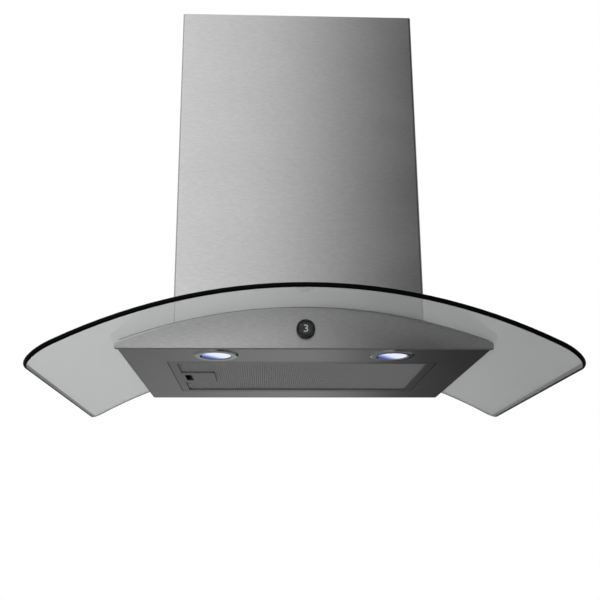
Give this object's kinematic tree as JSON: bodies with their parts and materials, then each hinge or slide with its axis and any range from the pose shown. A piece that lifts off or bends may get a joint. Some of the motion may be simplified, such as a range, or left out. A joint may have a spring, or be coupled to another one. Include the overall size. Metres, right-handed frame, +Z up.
{
  "type": "wall chimney range hood",
  "caption": "Wall range hood with an arched clear glass canopy, brushed steel chimney, steel body with dial, lamps and a drop-down mesh grease filter.",
  "frame": {"origin": "centre of the four wall holes, in the wall face of the blower housing's back plate", "axes": "+X to the hood's right as seen from the front, +Y towards the wall, +Z up"},
  "size_m": [0.7648, 0.508, 0.7397],
  "materials": {
    "brushed_stainless": "brushed, fine horizontal grain",
    "canopy_glass": "tempered, polished, light grey tint",
    "seal_rubber": "matt black silicone strip",
    "zinc_plated_steel": "bright zinc plate",
    "galvanised_sheet": "galvanised sheet",
    "nylon_natural": "natural nylon",
    "black_plastic": "moulded, fine texture",
    "damper_aluminium": "mill finish",
    "ground_steel": "ground",
    "motor_enamel": "baked grey enamel",
    "capacitor_case": "white moulded case",
    "filter_steel": "satin rolled steel",
    "filter_mesh": "expanded mesh, anodised",
    "latch_black": "moulded, matt",
    "spring_steel": "bright spring wire and strip",
    "lamp_chrome": "polished chrome plate",
    "lamp_lens": "frosted, lit cool white",
    "lamp_aluminium": "die-cast",
    "circuit_board": "green solder mask",
    "dial_black": "matt black moulding",
    "button_black": "smoked gloss window",
    "grey_plastic": "light grey moulding",
    "lead_sleeve": "white sleeved cable"
  },
  "bodies": {
    "hood": {"glass_canopy": "canopy_glass", "glass_gasket": "seal_rubber", "glass_bolts": "zinc_plated_steel", "glass_bushes": "nylon_natural", "glass_nuts": "zinc_plated_steel", "front_fascia": "brushed_stainless", "side_panel_left": "brushed_stainless", "side_panel_right": "brushed_stainless", "rear_panel": "brushed_stainless", "underside_panel": "brushed_stainless", "top_deck": "galvanised_sheet", "deck_rivets": "zinc_plated_steel", "blower_housing": "galvanised_sheet", "blower_cover": "galvanised_sheet", "blower_screws": "zinc_plated_steel", "scroll_housing": "black_plastic", "inlet_ring": "black_plastic", "motor_body": "motor_enamel", "motor_bearings": "ground_steel", "motor_bracket": "galvanised_sheet", "run_capacitor": "capacitor_case", "outlet_collar": "black_plastic", "collar_screws": "zinc_plated_steel", "damper_pin": "ground_steel", "lower_chimney": "brushed_stainless", "chimney_seal": "seal_rubber", "chimney_pads": "nylon_natural", "chimney_side_brackets": "galvanised_sheet", "chimney_screws": "zinc_plated_steel", "filter_hinge_ears": "galvanised_sheet", "lamp_bezel_left": "lamp_chrome", "lamp_bezel_right": "lamp_chrome", "lamp_lens_left": "lamp_lens", "lamp_lens_right": "lamp_lens", "lamp_housing_left": "lamp_aluminium", "lamp_housing_right": "lamp_aluminium", "lamp_boards": "circuit_board", "lamp_clips": "spring_steel", "control_housing": "black_plastic", "control_board": "circuit_board", "led_driver": "grey_plastic", "lamp_leads": "lead_sleeve", "terminal_box": "grey_plastic", "cable_gland": "black_plastic"},
    "impeller": {"impeller": "black_plastic", "impeller_nut": "zinc_plated_steel", "motor_shaft": "ground_steel"},
    "damper_left": {"damper_flap_left": "damper_aluminium"},
    "damper_right": {"damper_flap_right": "damper_aluminium"},
    "chimney_upper": {"upper_chimney": "brushed_stainless", "chimney_wall_bracket": "galvanised_sheet"},
    "filter": {"filter_frame": "filter_steel", "filter_mesh_lower": "filter_mesh", "filter_mesh_upper": "filter_mesh", "filter_hinge_pins": "ground_steel", "latch_housing": "filter_steel", "latch_spring": "spring_steel"},
    "latch": {"latch_slider": "latch_black"},
    "dial": {"control_dial": "dial_black"},
    "button": {"control_button": "button_black"}
  },
  "joints": [
    {"name": "impeller_spin", "type": "hinge", "parent": "hood", "child": "impeller", "pos_m": [-0.056, -0.0852, -0.01063], "axis": [0, 1, 0], "continuous": true},
    {"name": "damper_left_swing", "type": "hinge", "parent": "hood", "child": "damper_left", "pos_m": [0, -0.0852, 0.15972], "axis": [0, 1, 0], "range_deg": [0, 80]},
    {"name": "damper_right_swing", "type": "hinge", "parent": "hood", "child": "damper_right", "pos_m": [0, -0.0852, 0.15972], "axis": [0, -1, 0], "range_deg": [0, 80]},
    {"name": "filter_swing", "type": "hinge", "parent": "hood", "child": "filter", "pos_m": [0.1998, -0.196, -0.2018], "axis": [0, -1, 0], "range_deg": [0, 75]},
    {"name": "filter_latch", "type": "slide", "parent": "filter", "child": "latch", "axis": [1, 0, 0], "range_m": [0, 0.006], "stiffness_N_per_m": 400, "springref_m": -0.004, "deforming": ["latch_spring"]},
    {"name": "chimney_slide", "type": "slide", "parent": "hood", "child": "chimney_upper", "axis": [0, 0, 1], "range_m": [0, 0.4]},
    {"name": "dial_turn", "type": "hinge", "parent": "hood", "child": "dial", "pos_m": [0, -0.4144, -0.176], "axis": [0, 1, 0], "continuous": true},
    {"name": "button_push", "type": "slide", "parent": "hood", "child": "button", "axis": [0, 1, 0], "range_m": [0, 0.0012], "stiffness_N_per_m": 900, "springref_m": -0.0012}
  ]
}
